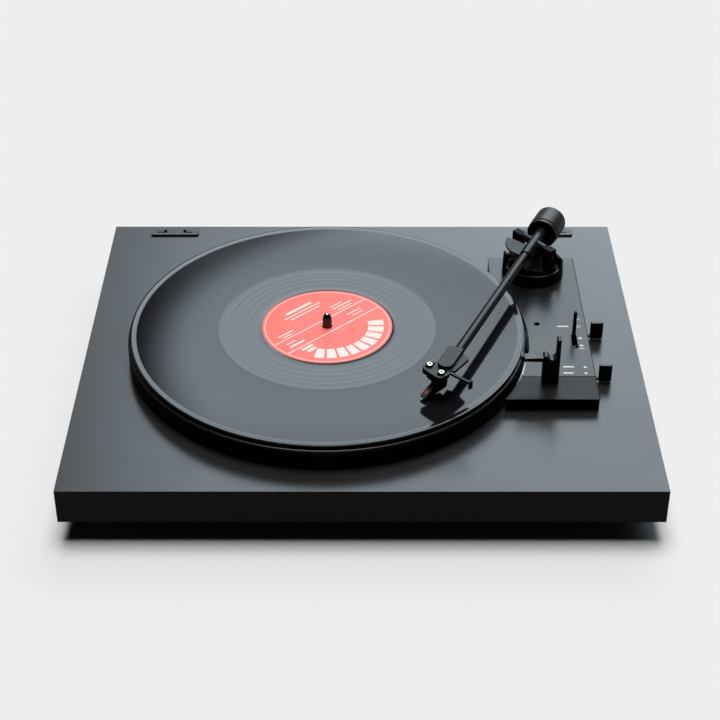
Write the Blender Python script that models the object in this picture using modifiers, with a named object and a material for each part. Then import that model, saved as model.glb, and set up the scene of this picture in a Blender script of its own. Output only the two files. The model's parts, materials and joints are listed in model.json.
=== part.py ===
"""Turntable record player: plinth, belt-driven platter, nine-inch tonearm, cue lift, controls.

Dimensions are written in millimetres and MM turns them into metres. Every part hangs on
the empty "deck": its XY plane is the plinth's top face and its origin the middle of that face.
+X is the player's right, +Y its rear, +Z up.
"""
import bpy
import bmesh
from math import acos, asin, cos, hypot, pi, radians, sin

MM = 0.001
GAP = 0.3                                   # clearance between neighbouring solids

# ---- driving dimensions -------------------------------------------------------------------
PLINTH_W, PLINTH_D, PLINTH_H = 425.0, 360.0, 27.5
FOOT_H = 18.0
SOCKET_REACH = 9.0                          # how far the phono sockets stand out at the rear
WALL = 10.0                                 # plinth side wall
SKIN = 6.0                                  # plinth top board
COVER_T = 2.0                               # bottom cover

SPINDLE_X, SPINDLE_Y = -26.6, -3.7
PLATTER_R, PLATTER_TOP, PLATTER_WEB = 152.5, 16.0, 4.0
MAT_R, MAT_T = 147.5, 1.2
RECORD_R, LABEL_R, RECORD_T = 150.8, 50.0, 1.9
SPINDLE_R, SPINDLE_TOP, SHAFT_R = 3.6, 31.1, 4.0
SUB_R, SUB_Z0, SUB_Z1 = 65.0, 3.4, 10.0
PULLEY_R = 7.0
MOTOR_X, MOTOR_Y = SPINDLE_X - 95.0, SPINDLE_Y + 70.0
BELT_Z0, BELT_Z1, BELT_T = 4.4, 9.0, 0.8

PANEL_X0, PANEL_X1 = 104.6, 174.0
PANEL_Y0, PANEL_Y1 = -86.2, 112.0
PANEL_SEAM, PANEL_TOP, PANEL_WALL = -57.1, 10.0, 2.0
PANEL_ARC_R = 155.3                         # its left edge runs round the platter

PIVOT_X, PIVOT_Y, PIVOT_Z = 139.3, 89.8, 38.0
ARM_REST_ANGLE = -23.6                      # tonearm about Z, measured from straight ahead
ARM_TILT = 0.63                             # nose up, held by the raised cue lift
OFFSET_ANGLE = -27.2                        # headshell and gimbal axis, against the arm tube
POT_R, POT_WALL, POT_RIM, POT_EAR = 24.8, 2.2, 20.0, 31.0
TUBE_R, SLEEVE_R, CROSS_R = 3.75, 4.75, 3.3
SLEEVE_FRONT, SLEEVE_BACK, TUBE_END = 23.5, 14.0, 171.7
WEIGHT_R, WEIGHT_FRONT, WEIGHT_BACK, WEIGHT_DROP = 12.6, 18.5, 44.0, 2.0
SHELL_SIDE, SHELL_FWD = -6.2, 201.9         # middle between the cartridge screws, on the arm
SCREW_PITCH = 12.7                          # cartridge screws, half inch apart
LIFT_X, LIFT_Y = PIVOT_X - 18.1, PIVOT_Y - 8.1
HINGE_X, HINGE_Y = 160.4, 169.0
CUE_X, CUE_Y, CUE_Z = 163.4, -3.7, -2.0
SPEED_Y, START_Y, LEVER_Z = 7.2, -50.0, 3.0
GEAR_TEETH, GEAR_TIP, PINION_TEETH, PINION_TIP = 42, 38.0, 12, 11.0
GEAR_ANGLE = -60.0
PLATE_X, PLATE_Z = 100.0, -14.0             # middle of the terminal plate
PHONO_X, GROUND_X, POWER_X = (112.0, 128.0), 144.0, 62.0


# ---- scene and materials ------------------------------------------------------------------
for old in list(bpy.data.objects):
    bpy.data.objects.remove(old, do_unlink=True)

parts = bpy.data.collections.new("record_player")
cutters = bpy.data.collections.new("cutters")
bpy.context.scene.collection.children.link(parts)
bpy.context.scene.collection.children.link(cutters)


def material(name, rgb, roughness, metallic=0.0):
    made = bpy.data.materials.new(name)
    made.use_nodes = True
    shader = made.node_tree.nodes["Principled BSDF"]
    shader.inputs["Base Color"].default_value = (*rgb, 1.0)
    shader.inputs["Roughness"].default_value = roughness
    shader.inputs["Metallic"].default_value = metallic
    return made


SATIN = material("satin_black_paint", (0.018, 0.019, 0.021), 0.38)
PLASTIC = material("black_plastic", (0.015, 0.015, 0.016), 0.5)
RUBBER = material("rubber", (0.02, 0.02, 0.02), 0.85)
VINYL = material("vinyl", (0.012, 0.012, 0.013), 0.22)
FELT = material("felt", (0.02, 0.02, 0.022), 0.95)
STEEL = material("steel", (0.62, 0.62, 0.63), 0.25, 1.0)
ZINC = material("zinc_plate", (0.45, 0.45, 0.46), 0.45, 1.0)
ALUMINIUM = material("aluminium", (0.7, 0.7, 0.71), 0.4, 1.0)
ARM_BLACK = material("anodised_black", (0.02, 0.021, 0.023), 0.32, 0.4)
BRASS = material("brass", (0.72, 0.52, 0.2), 0.3, 1.0)
BOARD = material("circuit_board_green", (0.02, 0.12, 0.05), 0.5)
PAPER = material("label_paper", (0.95, 0.22, 0.2), 0.5)
STYLUS_GREY = material("stylus_grey", (0.11, 0.11, 0.13), 0.45)


# ---- modelling helpers --------------------------------------------------------------------
def empty(name, parent=None, at=(0, 0, 0), turn=0.0):
    """An empty at a point in millimetres, turned about Z by degrees."""
    made = bpy.data.objects.new(name, None)
    made.empty_display_size = 0.02
    made.location = [value * MM for value in at]
    made.rotation_euler = (0, 0, radians(turn))
    made.parent = parent
    parts.objects.link(made)
    return made


def place(name, mesh, finish, parent, at=(0, 0, 0), turn=(0, 0, 0)):
    """Link a mesh: with a finish it is a part, with None a cutter or a shape to be joined."""
    made = bpy.data.objects.new(name, mesh)
    made.location = [value * MM for value in at]
    made.rotation_euler = [radians(value) for value in turn]
    made.parent = parent
    if finish is None:
        made.hide_render = True
        made.display_type = "WIRE"
        cutters.objects.link(made)
    else:
        mesh.materials.append(finish)
        parts.objects.link(made)
    return made


def box(name, low, high, finish, parent, bevel=0.0, at=(0, 0, 0), turn=(0, 0, 0)):
    mesh = bpy.data.meshes.new(name)
    shape = bmesh.new()
    bmesh.ops.create_cube(shape, size=1.0)
    for vert in shape.verts:
        for axis in range(3):
            middle = (low[axis] + high[axis]) / 2
            vert.co[axis] = (middle + vert.co[axis] * (high[axis] - low[axis])) * MM
    shape.to_mesh(mesh)
    shape.free()
    made = place(name, mesh, finish, parent, at, turn)
    if bevel:
        round_edges(made, bevel)
    return made


def round_edges(thing, width, segments=2, angle=40.0):
    bevel = thing.modifiers.new("edges", "BEVEL")
    bevel.width = width * MM
    bevel.segments = segments
    bevel.limit_method = "ANGLE"
    bevel.angle_limit = radians(angle)


def turned(name, profile, finish, parent, at=(0, 0, 0), turn=(0, 0, 0), steps=24):
    """Turn a profile of (radius, height) points about Z; it runs down its outer side."""
    closed = profile[0][0] > 0 or profile[-1][0] > 0
    mesh = bpy.data.meshes.new(name)
    count = len(profile)
    edges = [(i, i + 1) for i in range(count - 1)]
    if closed:
        edges.append((count - 1, 0))
    mesh.from_pydata([(r * MM, 0, z * MM) for r, z in profile], edges, [])
    made = place(name, mesh, finish, parent, at, turn)
    screw = made.modifiers.new("turn", "SCREW")
    screw.steps = steps
    screw.render_steps = steps
    screw.use_merge_vertices = True
    screw.merge_threshold = 0.00002
    return made


def disc(name, radius, low, high, finish, parent, at=(0, 0, 0), turn=(0, 0, 0), steps=24):
    """A plain cylinder between two heights."""
    profile = [(0, high), (radius, high), (radius, low), (0, low)]
    return turned(name, profile, finish, parent, at, turn, steps)


def slab(name, loops, low, high, finish, parent, at=(0, 0, 0), turn=(0, 0, 0)):
    """A flat outline, with its holes as further loops, between two heights."""
    curve = bpy.data.curves.new(name, "CURVE")
    curve.dimensions = "2D"
    curve.fill_mode = "BOTH"
    curve.extrude = (high - low) / 2 * MM
    for points in loops:
        spline = curve.splines.new("POLY")
        spline.points.add(len(points) - 1)
        for point, (x, y) in zip(spline.points, points):
            point.co = (x * MM, y * MM, 0, 1)
        spline.use_cyclic_u = True
    flat = bpy.data.objects.new(name, curve)
    parts.objects.link(flat)
    graph = bpy.context.evaluated_depsgraph_get()
    mesh = bpy.data.meshes.new_from_object(flat.evaluated_get(graph))
    bpy.data.objects.remove(flat, do_unlink=True)
    shape = bmesh.new()
    shape.from_mesh(mesh)
    bmesh.ops.remove_doubles(shape, verts=shape.verts, dist=0.000005)
    bmesh.ops.translate(shape, verts=shape.verts, vec=(0, 0, (high + low) / 2 * MM))
    bmesh.ops.recalc_face_normals(shape, faces=shape.faces)
    shape.to_mesh(mesh)
    shape.free()
    mesh.materials.clear()
    return place(name, mesh, finish, parent, at, turn)


def combine(target, other, operation):
    joint = target.modifiers.new(other.name, "BOOLEAN")
    joint.operation = operation
    joint.solver = "EXACT"
    joint.object = other


def cut(target, *others):
    for other in others:
        combine(target, other, "DIFFERENCE")


def join(target, *others):
    for other in others:
        combine(target, other, "UNION")


def smooth(*things):
    """Shade a round part smooth, keeping its sharp corners."""
    for thing in things:
        thing.data.shade_smooth()
        thing.data.set_sharp_from_angle(angle=radians(40))


def arc(x, y, radius, start, end, count):
    """Points along an arc, from start to end in degrees."""
    steps = [radians(start + (end - start) * i / count) for i in range(count + 1)]
    return [(x + radius * cos(a), y + radius * sin(a)) for a in steps]


def rounded(x0, y0, x1, y1, radius, count=4):
    """A rectangle with round corners."""
    corners = ((x1, y1, 0), (x0, y1, 90), (x0, y0, 180), (x1, y0, 270))
    points = []
    for x, y, start in corners:
        middle_x = x - radius if x == x1 else x + radius
        middle_y = y - radius if y == y1 else y + radius
        points += arc(middle_x, middle_y, radius, start, start + 90, count)
    return points


def toothed(tip, depth, teeth):
    """A gear outline with straight-sided teeth."""
    points = []
    for i in range(teeth):
        for radius, share in ((tip - depth, 0.0), (tip, 0.22), (tip, 0.48), (tip - depth, 0.7)):
            a = 2 * pi * (i + share) / teeth
            points.append((radius * cos(a), radius * sin(a)))
    return points


# ---- reference axes -----------------------------------------------------------------------
deck = empty("deck", None, (0, -SOCKET_REACH / 2, FOOT_H + PLINTH_H))
platter_axis = empty("platter_axis", deck, (SPINDLE_X, SPINDLE_Y, 0))
motor_axis = empty("motor_axis", deck, (MOTOR_X, MOTOR_Y, 0))
gear_distance = GEAR_TIP + PINION_TIP + 0.6
gear_axis = empty("gear_axis", deck, (SPINDLE_X + gear_distance * cos(radians(GEAR_ANGLE)),
                                      SPINDLE_Y + gear_distance * sin(radians(GEAR_ANGLE)), 0))
base_axis = empty("base_axis", deck, (PIVOT_X, PIVOT_Y, 0))
gimbal_axis = empty("gimbal_axis", deck, (PIVOT_X, PIVOT_Y, PIVOT_Z), ARM_REST_ANGLE + OFFSET_ANGLE)
tilt_axis = empty("tilt_axis", gimbal_axis)
tilt_axis.rotation_euler.x = radians(-ARM_TILT)
arm_axis = empty("arm_axis", tilt_axis, turn=-OFFSET_ANGLE)
shell_axis = empty("shell_axis", arm_axis, (SHELL_SIDE, -SHELL_FWD, 0), OFFSET_ANGLE)
lift_axis = empty("lift_axis", deck, (LIFT_X, LIFT_Y, 0))
cue_axis = empty("cue_axis", deck, (CUE_X, CUE_Y, CUE_Z))


# ---- plinth, cover and feet ---------------------------------------------------------------
def make_plinth():
    half_w, half_d = PLINTH_W / 2, PLINTH_D / 2
    plinth = box("plinth", (-half_w, -half_d, -PLINTH_H), (half_w, half_d, 0), SATIN, deck)
    inner_w, inner_d, post, draft = half_w - WALL, half_d - WALL, 18.0, 2.0
    cavity = [(inner_w, inner_d - post - draft), (inner_w - post, inner_d - post),
              (inner_w - post - draft, inner_d)]
    cavity += [(-x, y) for x, y in reversed(cavity)]
    cavity += [(x, -y) for x, y in reversed(cavity)]
    hollow = slab("plinth_cavity", [cavity], -PLINTH_H + COVER_T, -SKIN, None, deck)
    rebate = box("cover_rebate", (-inner_w, -inner_d, -PLINTH_H - 1),
                 (inner_w, inner_d, -PLINTH_H + COVER_T + GAP), None, deck)
    mechanism_hole = box("mechanism_hole", (112, -56, -SKIN - 1), (168, 108, 1), None, deck)
    bearing_hole = disc("bearing_hole", 13, -SKIN - 1, 1, None, platter_axis)
    gear_hole = disc("gear_hole", GEAR_TIP + 2, -SKIN - 1, 1, None, gear_axis, steps=40)
    pulley_hole = disc("pulley_hole", 6, -SKIN - 1, 1, None, motor_axis)
    pocket = box("terminal_pocket", (PLATE_X - 50, half_d - 1.6, PLATE_Z - 9),
                 (PLATE_X + 50, half_d + 1, PLATE_Z + 8), None, deck)
    window = box("terminal_window", (PLATE_X - 46, inner_d - 1, PLATE_Z - 7),
                 (PLATE_X + 49, half_d, PLATE_Z + 6), None, deck)
    cut(plinth, hollow, rebate, mechanism_hole, bearing_hole, gear_hole, pulley_hole,
        pocket, window)
    for x in (-HINGE_X, HINGE_X):
        for way in (-1, 1):
            low, high = sorted((way * 6.6, way * 15.3))
            cut(plinth, box(f"hinge_pocket_{x}_{way}", (x + low, HINGE_Y - 2.4, -5),
                            (x + high, HINGE_Y + 3.4, 1), None, deck))

    cover = box("bottom_cover", (-inner_w + GAP, -inner_d + GAP, -PLINTH_H),
                (inner_w - GAP, inner_d - GAP, -PLINTH_H + COVER_T), ZINC, deck)
    screw_x, screw_y = inner_w - post / 2, inner_d - post / 2
    head = [(0, 0), (1.6, 0), (1.6, -12), (3.4, -12), (3.4, -14), (0, -14)]
    for i, (sx, sy) in enumerate(((-1, -1), (1, -1), (-1, 1), (1, 1)), 1):
        at = (sx * screw_x, sy * screw_y, 0)
        bore = disc(f"screw_bore_{i}", 2.0, -PLINTH_H, -PLINTH_H + 16, None, deck, at, steps=16)
        sink = disc(f"screw_sink_{i}", 3.8, -PLINTH_H - 1, -PLINTH_H + COVER_T + 1, None, deck,
                    at, steps=16)
        cut(plinth, bore)
        cut(cover, sink)
        screw_at = (at[0], at[1], -PLINTH_H + 14.2)
        smooth(turned(f"cover_screw_{i}", head, ZINC, deck, screw_at, steps=16))

    foot = [(0, -PLINTH_H - GAP), (20, -PLINTH_H - GAP), (20, -PLINTH_H - 5),
            (18.6, -PLINTH_H - 6.2), (19.4, -PLINTH_H - 12), (18.4, -PLINTH_H - FOOT_H + 0.8),
            (17.2, -PLINTH_H - FOOT_H), (0, -PLINTH_H - FOOT_H)]
    for where, x, y in (("front_left", -1, -1), ("front_right", 1, -1),
                        ("rear_left", -1, 1), ("rear_right", 1, 1)):
        smooth(turned(f"foot_{where}", foot, RUBBER, deck, (x * 162, y * 128, 0)))


# ---- platter drive ------------------------------------------------------------------------
def make_drive():
    chassis = box("mechanism_chassis", (-168, -98, -SKIN - 2.0), (58, 104, -SKIN - GAP), ZINC, deck)
    cut(chassis, disc("housing_hole", 8.4, -9, -5, None, platter_axis),
        disc("shaft_hole", 4, -9, -5, None, motor_axis))

    body = [(0, -SKIN + 0.4), (8.0, -SKIN + 0.4), (8.0, -8.3), (18, -8.3), (18, -10.6),
            (8.0, -10.6), (8.0, -22.5), (0, -22.5)]
    bearing = turned("bearing_housing", body, BRASS, platter_axis)
    cut(bearing, disc("bearing_bore", SHAFT_R + GAP, -20.5, 5, None, platter_axis))
    ball = [(1.5 * sin(pi * i / 8), -18.8 + 1.5 * cos(pi * i / 8)) for i in range(9)]
    ball[0], ball[-1] = (0, ball[0][1]), (0, ball[-1][1])
    smooth(bearing, turned("thrust_ball", ball, STEEL, platter_axis, steps=12))

    nose = [(SPINDLE_R * cos(radians(a)), SPINDLE_TOP - 6 + 6 * sin(radians(a)))
            for a in (65, 45, 25, 0)]
    shaft = [(0, SPINDLE_TOP)] + nose + [(SPINDLE_R, 11.9), (SHAFT_R, 11.5), (SHAFT_R, -16.6),
                                         (3.4, -17.1), (0, -17.1)]
    smooth(turned("spindle_shaft", shaft, STEEL, platter_axis, steps=24))

    disc_body = [(SHAFT_R + GAP, 11.7), (12, 11.7), (12, SUB_Z1), (SUB_R, SUB_Z1),
                 (SUB_R, SUB_Z0), (SUB_R - 3, SUB_Z0), (SUB_R - 3, 7.4), (12, 7.4), (12, 0.5),
                 (9, 0.5), (9, -5.0), (SHAFT_R + GAP, -5.0)]
    sub = turned("sub_platter", disc_body, PLASTIC, platter_axis, steps=48)
    pinion = slab("hub_pinion", [toothed(PINION_TIP, 2.2, PINION_TEETH),
                                 arc(0, 0, 7, 0, 330, 11)], -4.8, 0.8, None, platter_axis)
    join(sub, pinion)
    smooth(sub)

    edge = PLATTER_R
    skirt = [(SPINDLE_R + GAP, PLATTER_TOP), (edge - 1.2, PLATTER_TOP), (edge - 0.3, 15.6),
             (edge, 14.8), (edge, 3.0), (edge - 1.0, 2.0), (edge - 6, 2.0),
             (edge - 6, PLATTER_TOP - PLATTER_WEB), (SPINDLE_R + GAP, PLATTER_TOP - PLATTER_WEB)]
    smooth(turned("platter", skirt, SATIN, platter_axis, steps=72))
    mat_low = PLATTER_TOP + GAP
    mat = [(SPINDLE_R + GAP, mat_low + MAT_T), (MAT_R, mat_low + MAT_T), (MAT_R, mat_low),
           (SPINDLE_R + GAP, mat_low)]
    smooth(turned("slip_mat", mat, FELT, platter_axis, steps=64))
    low = mat_low + MAT_T + GAP
    top = low + RECORD_T
    groove_top = top - 0.3
    bed = top - 0.6                         # the label lies a little below the rim
    record = [(SPINDLE_R + GAP, bed), (LABEL_R + GAP, bed), (LABEL_R + 0.6, groove_top),
              (RECORD_R - 5, groove_top), (RECORD_R - 1.3, top), (RECORD_R, top - 0.5),
              (RECORD_R, low + 0.5), (RECORD_R - 1.3, low), (SPINDLE_R + GAP, low)]
    smooth(turned("record", record, VINYL, platter_axis, steps=72))
    label = [(SPINDLE_R + GAP, top - 0.1), (LABEL_R, top - 0.1), (LABEL_R, bed + 0.25),
             (SPINDLE_R + GAP, bed + 0.25)]
    smooth(turned("record_label", label, PAPER, platter_axis, steps=48))

    motor = [(0, -8.3), (8, -8.3), (8, -9.5), (21, -9.5), (22, -10.5), (22, -23.0), (21, -24.0),
             (0, -24.0)]
    motor_body = turned("motor", motor, ZINC, motor_axis)
    cut(motor_body, disc("motor_bore", 1.5, -21, -7, None, motor_axis, steps=16))
    pulley = [(0, 10.6), (2.6, 10.6), (3.0, 9.8), (PULLEY_R, 9.5), (PULLEY_R, 3.9),
              (3.0, 3.6), (1.2, 3.2), (1.2, -20.0), (0, -20.0)]
    smooth(motor_body, turned("motor_pulley", pulley, ALUMINIUM, motor_axis))

    reach = hypot(MOTOR_X - SPINDLE_X, MOTOR_Y - SPINDLE_Y)
    line = acos((MOTOR_X - SPINDLE_X) / reach) * 180 / pi
    wrap = 90 - asin((SUB_R - PULLEY_R) / reach) * 180 / pi

    def belt_loop(offset):
        big = arc(0, 0, SUB_R + offset, line + wrap, line + 360 - wrap, 40)
        small = arc(MOTOR_X - SPINDLE_X, MOTOR_Y - SPINDLE_Y, PULLEY_R + offset,
                    line - wrap, line + wrap, 10)
        return big + small

    slab("drive_belt", [belt_loop(GAP + BELT_T), belt_loop(GAP)], BELT_Z0, BELT_Z1, RUBBER,
         platter_axis)

    gear = slab("cam_gear", [toothed(GEAR_TIP, 2.2, GEAR_TEETH), arc(0, 0, 2.5, 0, 330, 11)],
                -5.4, -1.8, PLASTIC, gear_axis)
    track = [(24, 0), (27, 0), (27, -3.4), (24, -3.4)]
    cut(gear, turned("cam_track", track, None, gear_axis, (4, 2, 0)))
    pin = [(0, -0.7), (3.6, -0.7), (3.6, -1.4), (2.2, -1.4), (2.2, -6.0), (0, -6.0)]
    smooth(turned("cam_gear_pin", pin, STEEL, gear_axis, steps=16))


# ---- electrics ----------------------------------------------------------------------------
def make_electrics():
    low = -PLINTH_H + COVER_T
    board = box("circuit_board", (40, 128, low + 4), (100, 160, low + 5.6), BOARD, deck)
    for i, (x, y, w, d, h) in enumerate(((48, 134, 5, 5, 7), (62, 140, 12, 8, 2.2),
                                         (84, 136, 7, 7, 8), (92, 150, 5, 5, 5)), 1):
        join(board, box(f"component_{i}", (x, y, low + 5), (x + w, y + d, low + 5.6 + h), None,
                        deck))
    for i, (x, y) in enumerate(((43, 131), (97, 131), (43, 157), (97, 157)), 1):
        join(board, disc(f"standoff_{i}", 2.2, low + GAP, low + 5, None, deck, (x, y, 0), steps=12))

    rear = PLINTH_D / 2
    plate = box("terminal_plate", (PLATE_X - 49.7, rear - 1.3, PLATE_Z - 8.7),
                (PLATE_X + 49.7, rear, PLATE_Z + 7.7), PLASTIC, deck)
    out = (-90, 0, 0)                       # turns +Z to the rear
    phono = [(0, SOCKET_REACH), (4.2, SOCKET_REACH), (4.2, 1.4), (6.2, 1.2), (6.2, GAP),
             (4.6, GAP), (4.6, -8), (0, -8)]
    for name, x in zip(("phono_socket_left", "phono_socket_right"), PHONO_X):
        at = (x, rear, PLATE_Z)
        socket = turned(name, phono, STEEL, deck, at, out, steps=24)
        cut(socket, disc(name + "_bore", 1.7, 2, SOCKET_REACH + 1, None, deck, at, out, 16))
        cut(plate, disc(name + "_hole", 4.9, -3, 1, None, deck, at, out, 24))
        smooth(socket)
    post = [(0, 8.4), (2.6, 8.4), (3.2, 7.8), (3.2, 3.0), (2.0, 2.6), (2.0, 1.6), (3.8, 1.6),
            (3.8, GAP), (1.5, GAP), (1.5, -6), (0, -6)]
    at = (GROUND_X, rear, PLATE_Z)
    smooth(turned("ground_post", post, ZINC, deck, at, out, steps=20))
    cut(plate, disc("ground_hole", 1.8, -3, 1, None, deck, at, out, 16))

    power = box("power_socket", (POWER_X - 4.5, rear - 12, PLATE_Z - 5.5),
                (POWER_X + 4.5, rear - 1.6, PLATE_Z + 5.5), PLASTIC, deck)
    at = (POWER_X, rear - 1.6, PLATE_Z)
    cut(power, turned("power_bore", [(1.0, 1), (2.8, 1), (2.8, -8.5), (1.0, -8.5)], None, deck, at,
                      out, 20))
    cut(plate, disc("power_hole", 3.4, -3, 3, None, deck, at, out, 20))


# ---- raised control panel -----------------------------------------------------------------
def panel_outline(inset, back, front):
    """The panel seen from above; its left edge curves round the platter."""
    radius = PANEL_ARC_R + inset
    left, right = PANEL_X0 + inset, PANEL_X1 - inset

    def arc_angle(y):
        return asin((y - SPINDLE_Y) / radius) * 180 / pi

    corner = acos((left - SPINDLE_X) / radius) * 180 / pi
    start = min(corner, arc_angle(back))
    end = max(-corner, arc_angle(front))
    curve = arc(SPINDLE_X, SPINDLE_Y, radius, start, end, 24)
    points = [(right, back), (left, back)] if back > curve[0][1] + 1 else [(right, back)]
    points += curve
    if front < curve[-1][1] - 0.5:
        points.append((left, front))
    return points + [(right, front)]


def make_panel():
    wall = PANEL_WALL
    panel = slab("tonearm_panel", [panel_outline(0, PANEL_Y1, PANEL_SEAM + GAP / 2)],
                 GAP, PANEL_TOP, SATIN, deck)
    hollow = slab("panel_hollow", [panel_outline(wall, PANEL_Y1 - wall, PANEL_SEAM + wall)],
                  -1, PANEL_TOP - wall, None, deck)
    front = slab("panel_front_cover", [panel_outline(0, PANEL_SEAM - GAP / 2, PANEL_Y0)],
                 GAP, PANEL_TOP, SATIN, deck)
    front_hollow = slab("front_hollow",
                        [panel_outline(wall, PANEL_SEAM - wall, PANEL_Y0 + wall)],
                        -1, PANEL_TOP - wall, None, deck)
    low, high = PANEL_TOP - wall - 1, PANEL_TOP + 1
    cue_slot = box("cue_slot", (161.3, -20.3, low), (165.6, -1.6, high), None, deck)
    lock_hole = disc("lock_hole", 2.35, low, high, None, deck, (136.5, 13.2, 0), steps=20)
    arm_hole = disc("arm_hole", 6.6, low, high, None, base_axis, steps=24)
    rod_hole = disc("rod_hole", 1.6, low, high, None, lift_axis, steps=16)
    slot_low, slot_high = LEVER_Z - 1.6, LEVER_Z + 1.6
    speed_slot = box("speed_slot", (PANEL_X1 - 4, SPEED_Y - 1.8, slot_low),
                     (PANEL_X1 + 1, SPEED_Y + 12.1, slot_high), None, deck)
    start_slot = box("start_slot", (PANEL_X1 - 4, START_Y - 5.0, slot_low),
                     (PANEL_X1 + 1, START_Y + 5.0, slot_high), None, deck)
    cut(panel, hollow, cue_slot, lock_hole, arm_hole, rod_hole, speed_slot, start_slot)
    cut(front, front_hollow)

    for side, name in ((-1, "left"), (1, "right")):
        at = (side * HINGE_X, HINGE_Y, 0)
        socket = slab(f"hinge_socket_{name}", [rounded(-20.3, -5.1, 20.3, 5.1, 2.0)], GAP, 1.6,
                      PLASTIC, deck, at)
        for way in (-1, 1):
            long_x, short_x = sorted((way * 7.0, way * 14.9)), sorted((way * 7.0, way * 9.5))
            bar = box(f"slot_bar_{name}_{way}", (long_x[0], -1.95, -1), (long_x[1], -0.3, 3), None,
                      deck, at=at)
            leg = box(f"slot_leg_{name}_{way}", (short_x[0], -1.95, -1), (short_x[1], 3.0, 3), None,
                      deck, at=at)
            cut(socket, bar, leg)


# ---- arm rest, levers and cue lift --------------------------------------------------------
def make_controls():
    left, right = 133.2, 145.5
    base, cradle, lug, horn = PANEL_TOP + GAP, 31.8, 35.0, 49.1
    front_y, depth = -67.4, 7.0
    outline = [(left, base), (right, base), (right, horn - 0.8), (right - 0.8, horn),
               (right - 2.0, horn), (right - 2.8, horn - 0.8), (right - 2.9, cradle + 2.6)]
    outline += arc(139.6, cradle + 2.9, 2.9, -20, -160, 6)
    outline += [(136.4, lug - 0.6), (135.6, lug), (134.4, lug), (left, lug - 0.9), (left, 33.6),
                (119.6, 33.0), (118.6, 35.0), (116.8, 35.2), (116.5, 31.0), (118.0, 30.3),
                (left, 29.8)]
    rest = slab("arm_rest", [outline], 0, depth, PLASTIC, deck, (0, front_y + depth, 0),
                (90, 0, 0))
    round_edges(rest, 0.35, 1)

    blade = box("cue_lever", (-1.45, -1.5, 0), (1.45, 1.5, 34.6), PLASTIC, cue_axis)
    hub = disc("cue_hub", 4.0, -4.2, 4.0, None, cue_axis, turn=(0, 90, 0), steps=20)
    join(blade, hub)
    round_edges(blade, 0.4, 1)

    knob_low, knob_high = 0.5, 15.7
    for name, y, half in (("speed", SPEED_Y, 3.0), ("start", START_Y, 1.4)):
        lever = box(f"{name}_lever", (PANEL_X1 - 5.6, -1.2, LEVER_Z - 1.1),
                    (177.2, 1.2, LEVER_Z + 1.1), STEEL, deck, at=(0, y, 0))
        slider = box(f"{name}_slider", (PANEL_X1 - 7.6, -half, LEVER_Z - 2.0),
                     (PANEL_X1 - 2.4, half, LEVER_Z + 3.6), None, deck, at=(0, y, 0))
        join(lever, slider)
        box(f"{name}_knob", (177.5, -1.5, knob_low), (187.4, 1.5, knob_high), PLASTIC, deck, 0.6,
            at=(0, y, 0))

    guide = [(1.2, 26.5), (2.3, 26.5), (2.3, 12.7), (1.2, 12.7)]
    smooth(turned("lift_guide", guide, PLASTIC, lift_axis, steps=20))
    rod = [(0, 35.1), (0.7, 35.1), (1.0, 34.6), (1.0, 33.6), (1.7, 33.2), (1.7, 31.0),
           (0.9, 30.6), (0.9, -4.0), (0, -4.0)]
    smooth(turned("lift_rod", rod, BRASS, lift_axis, steps=16))


# ---- tonearm base and turret --------------------------------------------------------------
def make_base():
    inner, floor, top_r = POT_R - POT_WALL, PANEL_TOP + GAP, POT_R - 0.6
    pot = [(6.6, floor + 2), (inner, floor + 2), (inner, POT_EAR), (top_r, POT_EAR),
           (POT_R, floor), (6.6, floor)]
    base = turned("tonearm_base", pot, PLASTIC, base_axis, steps=48)
    reach, over = POT_R + 5, POT_EAR + 5
    left_ear = [(6.8, POT_RIM), (6.8, POT_EAR), (1.0, POT_EAR), (-8.0, POT_RIM)]
    right_ear = [(12.0, POT_RIM), (12.0, POT_EAR - 0.5), (1.0, POT_RIM)]
    for name, ear, low, high in (("left", left_ear, 0, reach), ("right", right_ear, -reach, 0)):
        outline = [(reach, POT_RIM)] + ear + [(-reach, POT_RIM), (-reach, over), (reach, over)]
        cut(base, slab(f"ear_cut_{name}", [outline], low, high, None, base_axis, turn=(90, 0, -90)))
    cut(base, disc("base_rod_hole", 1.6, 0, 20, None, lift_axis, steps=16))
    bearing = [(4.8, 12.2), (6.3, 12.2), (6.3, -3), (4.8, -3)]
    smooth(base, turned("turret_bearing", bearing, BRASS, base_axis, steps=24))

    down = -PIVOT_Z
    post_in, post_out, post_half, post_top = 13.4, 21.9, 3.2, 40.6
    turret = box("tonearm_turret", (-20, -7, 14 + down), (20, 7, 21 + down), ARM_BLACK, gimbal_axis)
    join(turret, disc("turret_drum", 16.5, 12.6 + down, 20.8 + down, None, gimbal_axis, steps=40),
         disc("turret_shaft", 4.5, -5 + down, 15 + down, None, gimbal_axis, steps=24))
    for name, sign in (("left", -1), ("right", 1)):
        low, high = sorted((sign * post_in, sign * post_out))
        post = box(f"turret_post_{name}", (low, -post_half, 15 + down),
                   (high, post_half, post_top + down), None, gimbal_axis)
        low, high = sorted((sign * (post_in - 1), sign * 18.6))
        seat = disc(f"axle_seat_{name}", 1.7, low, high, None, gimbal_axis, turn=(0, 90, 0),
                    steps=20)
        join(turret, post)
        cut(turret, seat)
    cut(turret, disc("set_screw_hole", 1.2, 20.2, 24, None, gimbal_axis, (0, 0, -4), (0, 90, 0), 12))
    screw = [(0, 21.6), (0.9, 21.6), (0.9, 20.5), (0, 20.5)]
    smooth(turned("turret_set_screw", screw, BRASS, gimbal_axis, (0, 0, -4), (0, 90, 0), 12))


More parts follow.
